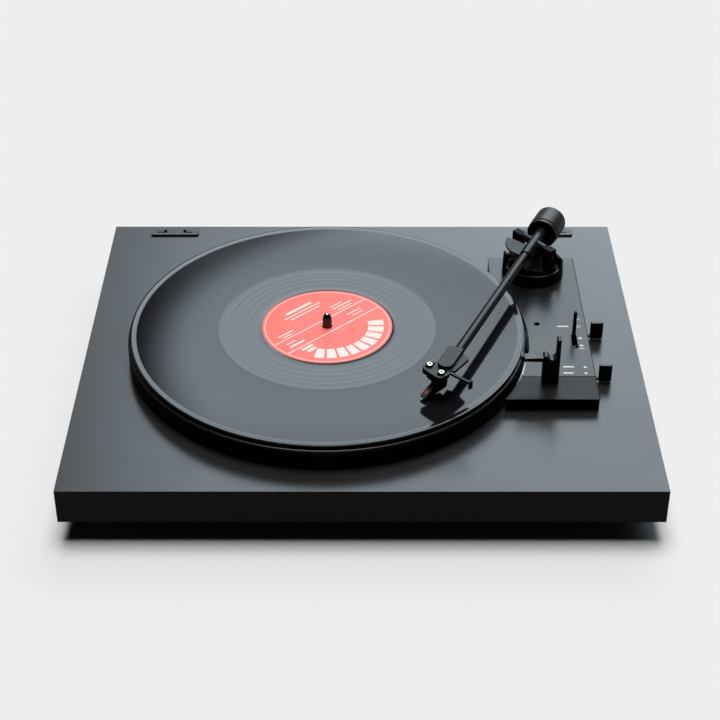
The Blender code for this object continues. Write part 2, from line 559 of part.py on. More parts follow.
# ---- tonearm ------------------------------------------------------------------------------
def make_arm():
    ahead = (90, 0, 0)                      # turns +Z to the front of the arm
    sleeve = [(0, SLEEVE_FRONT), (SLEEVE_R - 0.3, SLEEVE_FRONT), (SLEEVE_R, SLEEVE_FRONT - 0.3),
              (SLEEVE_R, -SLEEVE_BACK), (0, -SLEEVE_BACK)]
    gimbal = turned("gimbal_cross", sleeve, ARM_BLACK, arm_axis, turn=ahead)
    cross = [(0, 18.3), (1.4, 18.3), (1.4, 13.1), (CROSS_R, 13.1)]
    cross += [(r, -z) for r, z in reversed(cross)]
    join(gimbal, turned("cross_tube", cross, None, gimbal_axis, turn=(0, 90, 0)))
    smooth(gimbal)

    tube = [(TUBE_R - 0.8, TUBE_END), (TUBE_R, TUBE_END), (TUBE_R, SLEEVE_FRONT + GAP),
            (TUBE_R - 0.8, SLEEVE_FRONT + GAP)]
    smooth(turned("arm_tube", tube, ARM_BLACK, arm_axis, turn=ahead, steps=24))
    stub = [(0, -SLEEVE_BACK - GAP), (4.5, -SLEEVE_BACK - GAP), (4.5, -41), (3.9, -41.6),
            (0, -41.6)]
    smooth(turned("weight_stub", stub, ARM_BLACK, arm_axis, turn=ahead, steps=24))
    r = WEIGHT_R
    weight = [(0, -WEIGHT_FRONT), (r - 1.2, -WEIGHT_FRONT), (r - 0.4, -WEIGHT_FRONT - 0.8),
              (r - 0.4, -WEIGHT_FRONT - 3.0), (r - 0.9, -WEIGHT_FRONT - 3.2),
              (r - 0.9, -WEIGHT_FRONT - 3.9), (r, -WEIGHT_FRONT - 4.1),
              (r, -WEIGHT_BACK + 1.0), (r - 1.0, -WEIGHT_BACK), (0, -WEIGHT_BACK)]
    drop = (0, 0, -WEIGHT_DROP)
    counterweight = turned("counterweight", weight, ARM_BLACK, arm_axis, drop, ahead, 32)
    recess = disc("weight_recess", 6.6, -WEIGHT_FRONT - 1.5, 0, None, arm_axis, (0, 0, -0.6),
                  ahead, 30)
    bore = disc("weight_bore", 4.8, -46, 0, None, arm_axis, turn=ahead, steps=22)
    cut(counterweight, recess, bore)
    smooth(counterweight)

    top, thick, side = -0.8, 1.8, -SLEEVE_R - GAP
    crescent = arc(0, 0, 23.2, 238, 178, 10) + [(-12.6, -1.2), (side, -5.0), (side, -22.0)]
    plate = slab("lift_plate", [crescent], top - thick, top, ARM_BLACK, arm_axis)
    round_edges(plate, 0.3, 1)


def make_headshell():
    under, over, boss_top, boss_low = -1.0, 1.3, 3.9, -3.2
    boss_x, boss_r, boss_back = -1.6, 5.8, TUBE_END + GAP
    plate = [(-10.6, -2.0), (-9.6, 4.6), (-6.8, 7.0), (6.5, 7.0), (10.6, 4.5), (10.8, -3.5),
             (9.4, -5.4), (4.0, -6.1), (-4.0, -6.1), (-8.6, -5.4)]
    shell = slab("headshell", [plate], under, over, ARM_BLACK, shell_axis)
    for name, front, low in (("boss", 199.3, under), ("keel", 195.3, boss_low)):
        outline = arc(boss_x, -front + boss_r, boss_r, 180, 360, 8)
        outline += [(boss_x + boss_r, -boss_back), (boss_x - boss_r, -boss_back)]
        join(shell, slab(f"shell_{name}", [outline], low, boss_top, None, arm_axis))
    wing = [(3.0, -173.5), (11.0, -179.2), (7.2, -198.0), (0.0, -200.0)]
    join(shell, slab("shell_wing", [wing], under, over, None, arm_axis))
    bar = [(8.4, 4.8), (27.6, 8.2), (27.6, 10.4), (8.0, 7.2)]
    join(shell, slab("finger_bar", [bar], under + 0.2, over - 0.2, None, shell_axis))
    join(shell, box("finger_tab", (26.4, 7.4, -4.6), (28.2, 10.8, 2.2), None, shell_axis))
    for name, sign in (("left", -1), ("right", 1)):
        x = sign * SCREW_PITCH / 2
        slot = rounded(x - 1.65, -3.9, x + 1.65, 4.6, 1.6)
        cut(shell, slab(f"shell_slot_{name}", [slot], under - 1, over + 1, None, shell_axis))
        head = [(0, 3.1), (2.1, 3.1), (2.45, 2.8), (2.45, over + GAP), (1.2, over + GAP),
                (1.2, -4.5), (0, -4.5)]
        screw = turned(f"cartridge_screw_{name}", head, STEEL, shell_axis, (x, 0, 0), steps=20)
        cut(screw, disc(f"screw_socket_{name}", 0.8, 2.2, 4, None, shell_axis, (x, 0, 0), steps=6))
        smooth(screw)

    side_view = (90, 0, -90)                # outline x runs ahead and y up
    trunk = [(-8.5, -3.6), (4.8, -3.6), (4.8, -5.6), (0.8, -10.2), (-1.9, -15.6), (-7.8, -15.0),
             (-8.5, -10.0)]
    body = slab("cartridge_body", [trunk], -4.3, 4.3, PLASTIC, shell_axis, turn=side_view)
    flange = box("cartridge_flange", (-8.7, -5.4, -3.8), (8.7, 6.6, under - GAP), None, shell_axis)
    join(body, flange)
    for name, sign in (("left", -1), ("right", 1)):
        cut(body, disc(f"flange_hole_{name}", 1.5, -6, 0, None, shell_axis,
                       (sign * SCREW_PITCH / 2, 0, 0), steps=16))
    wedge = [(1.2, -10.4), (12.0, -17.7), (11.3, -19.1), (4.0, -18.8), (-7.4, -17.2), (-8.0, -15.4),
             (-1.5, -16.0)]
    unit = slab("stylus_unit", [wedge], -3.3, 3.3, STYLUS_GREY, shell_axis, turn=side_view)
    join(unit, turned("stylus_tip", [(0, -18.0), (0.5, -18.0), (0.15, -19.6), (0, -19.6)], None,
                      shell_axis, (0, -9.5, 0), steps=8))


make_plinth()
make_drive()
make_electrics()
make_panel()
make_controls()
make_base()
make_arm()
make_headshell()
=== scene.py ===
import json
from math import asin, cos, pi, radians, sin, sqrt

import bmesh
import bpy
from mathutils import Matrix, Vector


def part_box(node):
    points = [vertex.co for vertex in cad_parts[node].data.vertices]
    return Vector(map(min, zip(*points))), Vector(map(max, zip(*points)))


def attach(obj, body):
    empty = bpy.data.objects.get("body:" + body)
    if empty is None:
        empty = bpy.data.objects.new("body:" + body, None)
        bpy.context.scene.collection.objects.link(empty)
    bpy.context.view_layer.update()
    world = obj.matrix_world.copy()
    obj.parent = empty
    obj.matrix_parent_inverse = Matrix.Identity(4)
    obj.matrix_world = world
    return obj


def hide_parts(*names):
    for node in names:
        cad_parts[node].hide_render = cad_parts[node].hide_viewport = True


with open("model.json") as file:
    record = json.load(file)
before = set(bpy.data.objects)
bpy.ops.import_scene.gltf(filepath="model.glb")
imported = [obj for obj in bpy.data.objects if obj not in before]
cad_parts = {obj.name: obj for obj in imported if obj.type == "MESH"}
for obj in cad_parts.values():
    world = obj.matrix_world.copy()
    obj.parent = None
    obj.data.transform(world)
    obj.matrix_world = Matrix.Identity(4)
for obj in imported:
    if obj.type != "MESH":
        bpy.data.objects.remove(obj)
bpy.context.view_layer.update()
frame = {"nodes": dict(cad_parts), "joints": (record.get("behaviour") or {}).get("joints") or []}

scene = bpy.context.scene
scene.view_settings.view_transform = "Standard"
MM = 0.001

# ---- places: lengths are in millimetres, unless marked as metres ---------------------------------
joints = {joint["name"]: joint for joint in frame["joints"]}
plinth_low, plinth_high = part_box("plinth")
DECK = Matrix.Translation(((plinth_low[0] + plinth_high[0]) / 2,      # middle of the top face
                           (plinth_low[1] + plinth_high[1]) / 2, plinth_high[2]))


def spot(x, y, z, turn=0.0, base=DECK):
    """A local frame at a point in millimetres, turned about Z by degrees."""
    place = base @ Matrix.Translation((x * MM, y * MM, z * MM))
    return place @ Matrix.Rotation(radians(turn), 4, "Z")


def at_joint(name, on_deck=True):
    """A local frame on a joint's axis, at the height of the deck or at the joint's own point."""
    x, y, z = joints[name]["pos_m"]
    return Matrix.Translation((x, y, plinth_high[2] if on_deck else z))


PLATTER = at_joint("platter_spin")
BASE = at_joint("arm_swing")
GIMBAL_TURN, ARM_TILT, OFFSET = -50.8, -0.63, 27.2           # degrees
GIMBAL = at_joint("arm_swing", False) @ Matrix.Rotation(radians(GIMBAL_TURN), 4, "Z")
ARM = (GIMBAL @ Matrix.Rotation(radians(ARM_TILT), 4, "X")
       @ Matrix.Rotation(radians(OFFSET), 4, "Z"))
SHELL = spot(-6.2, -201.9, 0, -OFFSET, ARM)      # midway between the two cartridge screws
CUE = at_joint("cue_swing", False)
LIFT = spot(-18.1, -8.1, 0, base=BASE)           # the lift rod, beside the arm's pivot
AHEAD = Matrix.Rotation(radians(90), 4, "X")     # turns +Z to the front of the arm
ACROSS = Matrix.Rotation(radians(90), 4, "Y")    # turns +Z to the right
SIDE = Matrix.Rotation(radians(-90), 4, "Z") @ AHEAD          # side view: x ahead, y up


# ---- materials -----------------------------------------------------------------------------------
BLACK = (0.0006, 0.0006, 0.00065)
DEEP_BLACK = (0.0005, 0.0005, 0.0006)
DARK_BLACK = (0.0004, 0.0004, 0.00045)
TURRET_BLACK = (0.0003, 0.0003, 0.00035)
WEIGHT_BLACK = (0.0014, 0.0014, 0.0015)
EVEN = (1, 1, 1)                                 # noise that is not stretched


class Shader:
    """A node material: a Principled shader and the small networks that feed it."""

    def __init__(self, name, rgb, rough, metal=0.0, level=0.5):
        self.material = bpy.data.materials.new(name)
        self.material.use_nodes = True
        self.tree = self.material.node_tree
        self.shader = self.tree.nodes["Principled BSDF"]
        self.rgb, self.rough, self.height = rgb, rough, None
        self.set(**{"Base Color": (*rgb, 1.0), "Roughness": rough, "Metallic": metal,
                    "Specular IOR Level": level})

    def set(self, **values):
        """Sets the Principled shader's own sockets by name."""
        for name, value in values.items():
            self.shader.inputs[name].default_value = value

    def node(self, kind, **values):
        made = self.tree.nodes.new("ShaderNode" + kind)
        for name, value in values.items():
            if name in made.inputs:
                made.inputs[name].default_value = value
            else:
                setattr(made, name, value)
        return made

    def link(self, start, end):
        self.tree.links.new(start, end)

    def place(self):
        return self.node("TexCoord").outputs["Object"]

    def noise(self, scale, detail=3.0, stretch=None):
        """Noise of so many cells to the metre, stretched along an axis if asked."""
        made = self.node("TexNoise", Scale=scale, Detail=detail, Roughness=0.55)
        source = self.place()
        if stretch:
            mapping = self.node("Mapping")
            mapping.inputs["Scale"].default_value = stretch
            self.link(source, mapping.inputs["Vector"])
            source = mapping.outputs["Vector"]
        self.link(source, made.inputs["Vector"])
        return made.outputs["Fac"]

    def span(self, value, low, high, to_low, to_high):
        made = self.node("MapRange")
        for key, number in zip(("From Min", "From Max", "To Min", "To Max"),
                               (low, high, to_low, to_high)):
            made.inputs[key].default_value = number
        self.link(value, made.inputs["Value"])
        return made.outputs["Result"]

    def math(self, operation, first, second):
        made = self.node("Math", operation=operation)
        for socket, value in zip(made.inputs, (first, second)):
            if isinstance(value, (int, float)):
                socket.default_value = value
            else:
                self.link(value, socket)
        return made.outputs["Value"]

    def vary_rough(self, value, spread):
        """Roughness that moves with a 0 to 1 value."""
        self.link(self.span(value, 0.3, 0.7, self.rough - spread, self.rough + spread),
                  self.shader.inputs["Roughness"])
        return self

    def vary_color(self, value, dark, light):
        """The colour between two multiples of itself."""
        ramp = self.node("ValToRGB")
        for stop, share, spot_at in zip(ramp.color_ramp.elements, (dark, light), (0.3, 0.7)):
            stop.position = spot_at
            stop.color = (*(min(1.0, channel * share) for channel in self.rgb), 1.0)
        self.link(value, ramp.inputs["Fac"])
        self.link(ramp.outputs["Color"], self.shader.inputs["Base Color"])
        return self

    def bump(self, value, depth_mm, strength=1.0):
        """Adds relief of that depth."""
        made = self.node("Bump", Strength=strength, Distance=depth_mm * MM)
        self.link(value, made.inputs["Height"])
        if self.height is not None:
            self.link(self.height, made.inputs["Normal"])
        self.height = made.outputs["Normal"]
        self.link(self.height, self.shader.inputs["Normal"])
        return self


def painted(name, rgb, rough, level):
    """Sprayed satin paint: faint orange peel, fine tooth, and slow changes of gloss."""
    made = Shader(name, rgb, rough, level=level)
    made.vary_rough(made.noise(14, 2), 0.025)
    made.vary_color(made.noise(9, 3), 0.85, 1.15)
    made.bump(made.noise(420, 2), 0.012, 0.25)
    return made.bump(made.noise(4200, 2), 0.004, 0.35).material


def moulded(name, rgb, rough, level=0.5, grain=2600):
    """Moulded plastic with a fine spark-eroded grain."""
    made = Shader(name, rgb, rough, level=level)
    made.vary_rough(made.noise(60, 3), 0.05)
    made.vary_color(made.noise(45, 2), 0.85, 1.2)
    return made.bump(made.noise(grain, 3), 0.01, 0.35).material


def machined(name, rgb, rough, metal=1.0, lines=EVEN, level=0.5, depth=0.003):
    """Turned or brushed metal; lines stretches the noise along the tool's path."""
    made = Shader(name, rgb, rough, metal=metal, level=level)
    streaks = made.noise(900, 4, lines)
    made.vary_rough(streaks, rough * 0.3)
    made.vary_color(made.noise(70, 3), 0.9, 1.08)
    return made.bump(streaks, depth, 0.4).material


def vinyl(name, rough, spread, rings, level):
    """Pressed vinyl: roughness and fine relief that change only with the radius."""
    made = Shader(name, DEEP_BLACK, rough, level=level)
    split = made.node("SeparateXYZ")
    made.link(made.place(), split.inputs["Vector"])
    x, y = split.outputs["X"], split.outputs["Y"]
    squared = made.math("ADD", made.math("MULTIPLY", x, x), made.math("MULTIPLY", y, y))
    radius = made.math("SQRT", squared, 0.0)
    band = made.node("TexNoise", noise_dimensions="1D", Scale=rings, Detail=6.0, Roughness=0.7)
    made.link(radius, band.inputs["W"])
    fine = made.node("TexNoise", noise_dimensions="1D", Scale=rings * 9, Detail=3.0)
    made.link(radius, fine.inputs["W"])
    made.vary_rough(band.outputs["Fac"], spread)
    made.bump(band.outputs["Fac"], 0.010, 0.5)
    made.bump(fine.outputs["Fac"], 0.004, 0.6)
    turn = made.node("Tangent", direction_type="RADIAL", axis="Z")
    made.link(turn.outputs["Tangent"], made.shader.inputs["Tangent"])
    made.set(Anisotropic=0.25)
    return made.material


def anodised(name, rgb, rough, level, lines=EVEN):
    """Black anodised or lacquered metal, which reflects like a coat and not like bare metal."""
    return machined(name, rgb, rough, 0.0, lines, level, 0.004)


PAINT = painted("plinth_paint", BLACK, 0.27, 0.067)
PANEL_PAINT = painted("panel_paint", BLACK, 0.25, 0.046)
COVER_PAINT = painted("panel_cover_paint", BLACK, 0.34, 0.018)
PLATTER_PAINT = painted("platter_paint", DEEP_BLACK, 0.30, 0.04)
PLASTIC = moulded("black_plastic", BLACK, 0.42, 0.07)
DARK_PLASTIC = moulded("dark_plastic", DARK_BLACK, 0.5, 0.035)
ANODISED = anodised("anodised_black", BLACK, 0.27, 0.035)
SHELL_FINISH = anodised("shell_black", BLACK, 0.36, 0.03)
TURRET_FINISH = anodised("turret_black", TURRET_BLACK, 0.45, 0.01)
WEIGHT_FINISH = anodised("weight_black", WEIGHT_BLACK, 0.40, 0.05, (1, 1, 6))
GROOVES = vinyl("record_grooves", 0.07, 0.015, 900, 0.035)
DEAD_WAX = vinyl("record_inner_band", 0.09, 0.012, 260, 0.052)
STEEL = machined("polished_steel", (0.66, 0.66, 0.67), 0.10, lines=(1, 1, 5))
# a darkened copy of the polished steel: painted shade for the dark surroundings that the spindle
# reflects
SPINDLE_STEEL_PAINTED_SHADE = machined("spindle_steel_painted_shade", (0.05, 0.05, 0.052), 0.12, lines=(1, 1, 5))
CHROME = machined("bright_chrome", (0.066, 0.060, 0.050), 0.30, lines=(6, 6, 1))
BLACK_STEEL = machined("black_oxide_steel", BLACK, 0.40, 0.0, (1, 6, 6), 0.04)
ZINC = machined("zinc_plate", (0.42, 0.42, 0.43), 0.42, lines=(1, 8, 8))
ALUMINIUM = machined("turned_aluminium", (0.68, 0.68, 0.69), 0.30, lines=(1, 1, 12))
BRASS = machined("turned_brass", (0.72, 0.47, 0.16), 0.24, lines=(1, 1, 9))
DULL_BRASS = machined("dull_brass", (0.06, 0.036, 0.012), 0.35, lines=(1, 1, 9))
STYLUS_GREY = moulded("stylus_grey", (0.0028, 0.0028, 0.0036), 0.38, 0.05, 1800)
MARK_RED = moulded("mark_red", (0.055, 0.0065, 0.003), 0.45, 0.03)
PRINT = moulded("print_white", (0.052, 0.053, 0.054), 0.6, 0.05)
# matte black for the front cover's seam line, and for the strip of painted shade along the panel's
# right edge
SEAM_AND_SHADE = moulded("seam_and_painted_shade_black", DARK_BLACK, 0.9, 0.0)
BOARD = moulded("board_green", (0.015, 0.10, 0.04), 0.35, 0.5, 700)


def rubber():
    made = Shader("foot_rubber", (0.012, 0.012, 0.012), 0.8, level=0.2)
    made.vary_color(made.noise(120, 4), 0.8, 1.5)
    return made.bump(made.noise(1500, 4), 0.03, 0.4).material


def felt():
    made = Shader("mat_felt", (0.010, 0.010, 0.011), 0.95, level=0.1)
    made.set(**{"Sheen Weight": 0.3, "Sheen Roughness": 0.5})
    fibres = made.noise(2400, 5, (1, 1, 4))
    made.vary_color(fibres, 0.6, 1.6)
    return made.bump(fibres, 0.12, 0.7).material


def paper(name, rgb):
    made = Shader(name, rgb, 0.5, level=0.05)
    made.vary_color(made.noise(260, 5), 0.97, 1.02)
    made.vary_rough(made.noise(90, 3), 0.04)
    return made.bump(made.noise(1700, 5), 0.006, 0.3).material


RUBBER, FELT = rubber(), felt()
LABEL_RED = paper("label_red", (0.070, 0.0120, 0.0095))
LABEL_INK = paper("label_ink", (0.070, 0.0565, 0.0525))


# ---- mesh helpers --------------------------------------------------------------------------------
def put(name, mesh, matrix, material, body, stands_for=(), smooth=40):
    """Makes a piece of a mesh in a local frame, and says which body it rides on."""
    made = bpy.data.objects.new(name, mesh)
    scene.collection.objects.link(made)
    made.matrix_world = matrix
    mesh.materials.clear()
    mesh.materials.append(material)
    if smooth:
        mesh.shade_smooth()
        mesh.set_sharp_from_angle(angle=radians(smooth))
    bpy.context.view_layer.update()
    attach(made, body)
    if stands_for:
        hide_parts(*stands_for)
    return made


def fillet(points, radius, count=3, closed=True):
    """Rounds the corners of a line of (x, y) points; an open line keeps its two ends."""
    done, total = [], len(points)
    for i, point in enumerate(points):
        if not closed and i in (0, total - 1):
            done.append(point)
            continue
        here = Vector(point)
        back, on = Vector(points[i - 1]) - here, Vector(points[(i + 1) % total]) - here
        reach = min(radius, back.length * 0.45, on.length * 0.45)
        start, end = here + back.normalized() * reach, here + on.normalized() * reach
        for step in range(count + 1):
            t = step / count
            done.append(tuple(start * (1 - t) ** 2 + here * 2 * t * (1 - t) + end * t * t))
    return done


def lathe_mesh(name, profile, steps):
    """Turns (radius, height) points about Z; a profile that leaves the axis is closed on itself."""
    closed = profile[0][0] > 0 or profile[-1][0] > 0
    shape = bmesh.new()
    rings = []
    for radius, height in profile:
        if radius <= 0:
            rings.append([shape.verts.new((0, 0, height * MM))])
            continue
        rings.append([shape.verts.new((radius * MM * cos(2 * pi * i / steps),
                                       radius * MM * sin(2 * pi * i / steps), height * MM))
                      for i in range(steps)])
    pairs = list(zip(rings, rings[1:])) + ([(rings[-1], rings[0])] if closed else [])
    for upper, lower in pairs:
        for i in range(steps):
            j = (i + 1) % steps
            corners = [upper[i % len(upper)], upper[j % len(upper)],
                       lower[j % len(lower)], lower[i % len(lower)]]
            corners = [v for k, v in enumerate(corners) if v not in corners[:k]]
            if len(corners) > 2:
                shape.faces.new(corners)
    bmesh.ops.recalc_face_normals(shape, faces=shape.faces)
    mesh = bpy.data.meshes.new(name)
    shape.to_mesh(mesh)
    shape.free()
    return mesh


def lathe(name, profile, matrix, material, body, stands_for=(), steps=64):
    return put(name, lathe_mesh(name, profile, steps), matrix, material, body, stands_for)


def slab_mesh(name, loops, low, high):
    """A flat outline in millimetres, its holes as further loops, between two heights."""
    curve = bpy.data.curves.new(name, "CURVE")
    curve.dimensions, curve.fill_mode = "2D", "BOTH"
    curve.extrude = (high - low) / 2 * MM
    for points in loops:
        spline = curve.splines.new("POLY")
        spline.points.add(len(points) - 1)
        for point, (x, y) in zip(spline.points, points):
            point.co = (x * MM, y * MM, 0, 1)
        spline.use_cyclic_u = True
    flat = bpy.data.objects.new(name, curve)
    scene.collection.objects.link(flat)
    mesh = bpy.data.meshes.new_from_object(
        flat.evaluated_get(bpy.context.evaluated_depsgraph_get()))
    bpy.data.objects.remove(flat)
    bpy.data.curves.remove(curve)
    shape = bmesh.new()
    shape.from_mesh(mesh)
    bmesh.ops.remove_doubles(shape, verts=shape.verts, dist=0.000002)
    bmesh.ops.translate(shape, verts=shape.verts, vec=(0, 0, (high + low) / 2 * MM))
    bmesh.ops.dissolve_limit(shape, angle_limit=0.002, verts=shape.verts, edges=shape.edges)
    bmesh.ops.recalc_face_normals(shape, faces=shape.faces)
    shape.to_mesh(mesh)
    shape.free()
    return mesh


def soften(piece, width, segments=3, angle=35):
    """Rounds the hard edges of a piece."""
    bevel = piece.modifiers.new("edges", "BEVEL")
    bevel.width, bevel.segments = width * MM, segments
    bevel.limit_method, bevel.angle_limit = "ANGLE", radians(angle)
    bevel.harden_normals = True
    return piece


def slab(name, loops, low, high, matrix, material, body, stands_for=(), edge=0.3):
    made = put(name, slab_mesh(name, loops, low, high), matrix, material, body, stands_for)
    return soften(made, edge) if edge else made


def block_mesh(name, low, high, taper=1.0):
    """A box between two corners; taper shrinks its top about the middle."""
    shape = bmesh.new()
    bmesh.ops.create_cube(shape, size=1.0)
    for vert in shape.verts:
        scale = taper if vert.co.z > 0 else 1.0
        middle = [(a + b) / 2 for a, b in zip(low, high)]
        size = [b - a for a, b in zip(low, high)]
        vert.co = [(middle[0] + vert.co.x * size[0] * scale) * MM,
                   (middle[1] + vert.co.y * size[1] * scale) * MM,
                   (middle[2] + vert.co.z * size[2]) * MM]
    mesh = bpy.data.meshes.new(name)
    shape.to_mesh(mesh)
    shape.free()
    return mesh


def block(name, low, high, matrix, material, body, stands_for=(), edge=0.4, taper=1.0):
    made = put(name, block_mesh(name, low, high, taper), matrix, material, body, stands_for)
    return soften(made, edge)


def arc(x, y, radius, start, end, count):
    """Points along an arc, from start to end in degrees."""
    steps = [radians(start + (end - start) * i / count) for i in range(count + 1)]
    return [(x + radius * cos(a), y + radius * sin(a)) for a in steps]


def ring_loops(inner, outer, count):
    """The two outlines of a flat ring."""
    return [arc(0, 0, outer, 0, 360 - 360 / count, count - 1),
            arc(0, 0, inner, 0, 360 - 360 / count, count - 1)]


def sector(inner, outer, start, end, count):
    """The outline of a piece of a flat ring, between two angles in degrees."""
    return [arc(0, 0, outer, start, end, count) + arc(0, 0, inner, end, start, count)]


def bar(x0, y0, x1, y1):
    """The outline of an upright rectangle."""
    return [[(x0, y0), (x1, y0), (x1, y1), (x0, y1)]]


# ---- carried-over CAD parts: a finish for each, and softened edges where they show ---------------
FINISHES = {
    "plinth": PAINT, "bottom_cover": ZINC, "mechanism_chassis": ZINC, "bearing_housing": BRASS,
    "thrust_ball": STEEL, "motor": ZINC, "drive_belt": RUBBER, "cam_gear_pin": STEEL,
    "circuit_board": BOARD, "terminal_plate": PLASTIC, "power_socket": DARK_PLASTIC,
    "tonearm_panel": PANEL_PAINT, "panel_front_cover": COVER_PAINT,
    "hinge_socket_left": PLASTIC, "hinge_socket_right": PLASTIC, "turret_bearing": BRASS,
    "slip_mat": FELT, "sub_platter": PLASTIC, "motor_pulley": ALUMINIUM, "cam_gear": PLASTIC,
    "tonearm_turret": TURRET_FINISH, "turret_set_screw": DULL_BRASS,
    "speed_lever": BLACK_STEEL, "start_lever": BLACK_STEEL, "lift_guide": PLASTIC,
    "phono_socket_left": STEEL, "phono_socket_right": STEEL, "ground_post": ZINC,
    **{f"cover_screw_{i}": ZINC for i in range(1, 5)},
}
for node, material in FINISHES.items():
    for slot in frame["nodes"][node].material_slots:
        slot.material = material

SOFT_EDGES = {"plinth": 0.5, "hinge_socket_left": 0.3, "hinge_socket_right": 0.3,
              "tonearm_turret": 0.35, "terminal_plate": 0.25}
for node, width in SOFT_EDGES.items():
    piece = frame["nodes"][node]
    weld = piece.modifiers.new("weld", "WELD")
    weld.merge_threshold = 0.003 * MM
    soften(piece, width, 3, 50)


# ---- platter, mat, record and spindle ------------------------------------------------------------
HOLE = 3.9                                       # radius of the hole in platter, record and label
GROOVE_TOP, GROOVE_END = 19.4, 145.6             # top face of the record, and its outer groove
LEAD_OUT = 83.0                                  # radius where the plain inner band starts
LABEL_TOP, LABEL_TURN = 19.45, 43.5              # top face of the label, and its turn in degrees
BLOCK_START, BLOCK_STEP, BLOCK_SPAN = -146, 13, 10.2
LABEL_LINES = (                                  # left, bottom, length and height of each
    (-13, 32, 26, 2.4), (-18, 28, 36, 1.1), (-15, 24.5, 30, 1.1), (-38, 13, 15, 1.2),
    (-36, 10.2, 9, 0.9), (19, 13.5, 19, 1.2), (21, 10.2, 15, 0.9), (19, 17, 12, 0.9),
    (-40, -3.5, 14, 2.0), (-40, 1.5, 9, 0.9), (22, 0.5, 14, 1.0), (24, -3.0, 11, 0.9),
    (-36, -12.5, 11, 2.4), (-34, -17, 8, 3.0))


def make_platter():
    skirt = [(HOLE, 16.0), (151.4, 16.0), (152.5, 14.9), (152.5, 2.9), (151.6, 2.0), (146.5, 2.0),
             (146.5, 12.0), (HOLE, 12.0)]
    lathe("platter_casting", fillet(skirt, 0.5, 3), PLATTER, PLATTER_PAINT, "platter",
          ("platter",), 256)


def make_record():
    ring_floor = GROOVE_TOP - 0.008
    profile = [(HOLE, 19.36), (50.1, 19.36), (50.2, GROOVE_TOP)]
    for radius, half in ((55.5, 0.4), (60.5, 0.25), (66.0, 0.25), (71.5, 0.3), (76.5, 0.25),
                         (LEAD_OUT, 0.6)):
        profile += [(radius - half, GROOVE_TOP), (radius - half / 3, ring_floor),
                    (radius + half / 3, ring_floor), (radius + half, GROOVE_TOP)]
    profile += [(GROOVE_END, GROOVE_TOP), (146.1, GROOVE_TOP - 0.05), (149.0, 19.66),
                (149.9, 19.7), (150.5, 19.55), (150.8, 19.1), (150.8, 18.4), (150.4, 17.95),
                (149.6, 17.8), (HOLE, 17.8)]
    disc = lathe("record_disc", profile, PLATTER, GROOVES, "platter", ("record",), 360)
    disc.data.materials.append(DEAD_WAX)
    for face in disc.data.polygons:
        middle = sqrt(face.center.x ** 2 + face.center.y ** 2) / MM
        if middle < LEAD_OUT or middle > GROOVE_END:
            face.material_index = 1


def make_label():
    edge, dent = 19.37, 19.41
    sheet = [(HOLE, edge), (HOLE, LABEL_TOP), (15.0, LABEL_TOP), (15.5, dent), (16.3, dent),
             (16.8, LABEL_TOP), (49.9, LABEL_TOP), (50.0, 19.43), (50.0, edge)]
    lathe("label_sheet", sheet, PLATTER, LABEL_RED, "platter", ("record_label",),
          160)
    marks = [("label_ring", ring_loops(47.7, 48.2, 160)),
             ("label_rule_upper", bar(-46.0, 7.2, 46.5, 8.1)),
             ("label_rule_lower", bar(-46.5, -8.1, 46.0, -7.2))]
    for i in range(9):
        start = BLOCK_START + i * BLOCK_STEP
        marks.append((f"label_block_{i}", sector(31.5, 43.5, start, start + BLOCK_SPAN, 8)))
    for i, (x, y, length, height) in enumerate(LABEL_LINES):
        marks.append((f"label_line_{i:02d}", bar(x, y, x + length, y + height)))
    turned = PLATTER @ Matrix.Rotation(radians(LABEL_TURN), 4, "Z")
    for name, loops in marks:
        slab(name, loops, LABEL_TOP + 0.002, LABEL_TOP + 0.02, turned, LABEL_INK, "platter",
             edge=0)


def make_spindle():
    nose = [(3.6 * cos(radians(a)), 25.1 + 6 * sin(radians(a))) for a in range(84, -1, -7)]
    shaft = [(0, 31.1)] + nose + [(3.6, 12.1), (4.0, 11.6), (4.0, -16.6), (3.4, -17.1), (0, -17.1)]
    lathe("spindle", shaft, PLATTER, SPINDLE_STEEL_PAINTED_SHADE, "platter", ("spindle_shaft",), 64)


# ---- tonearm base, lift and rest -----------------------------------------------------------------
POT_RADIUS = 24.8
POT_LOW = 20.0                                   # top of the pot's wall between its ears
LEFT_FRONT, RIGHT_FRONT = -6.8, -12.0            # where each ear's upright front edge stands


def rim_height(angle):
    """Top of the pot's wall: low, with an ear at either side that slopes down to the rear."""
    x, y = POT_RADIUS * cos(angle), POT_RADIUS * sin(angle)
    peak, front, start, run = ((31.0, LEFT_FRONT, -1.0, 9.0) if x < 0 else
                               (30.5, RIGHT_FRONT, RIGHT_FRONT, 11.0))
    if y < front:
        return POT_LOW
    return max(POT_LOW, peak - (peak - POT_LOW) * max(0.0, y - start) / run)


def make_base():
    hole, inner, top_outer, floor, thick = 6.6, 22.6, 24.2, 10.3, 2
    steps, hair = 144, 0.0005
    angles = [2 * pi * i / steps for i in range(steps)]
    for edge in (pi + asin(-LEFT_FRONT / POT_RADIUS), 2 * pi - asin(-RIGHT_FRONT / POT_RADIUS)):
        angles += [edge - hair, edge + hair]     # a close pair makes the ear's edge upright
    angles.sort()
    shape = bmesh.new()
    rings = []
    for radius, height in ((hole, floor + thick), (inner, floor + thick), (inner, None),
                           (top_outer, None), (POT_RADIUS, floor), (hole, floor)):
        ring = []
        for angle in angles:
            z = rim_height(angle) if height is None else height
            ring.append(shape.verts.new((radius * cos(angle) * MM, radius * sin(angle) * MM,
                                         z * MM)))
        rings.append(ring)
    for upper, lower in zip(rings, rings[1:] + rings[:1]):
        for i in range(len(angles)):
            j = (i + 1) % len(angles)
            shape.faces.new((upper[i], upper[j], lower[j], lower[i]))
    bmesh.ops.recalc_face_normals(shape, faces=shape.faces)
    mesh = bpy.data.meshes.new("arm_pot")
    shape.to_mesh(mesh)
    shape.free()
    pot = put("arm_pot", mesh, BASE, DARK_PLASTIC, "case", ("tonearm_base",))
    soften(pot, 0.3, 3, 50)


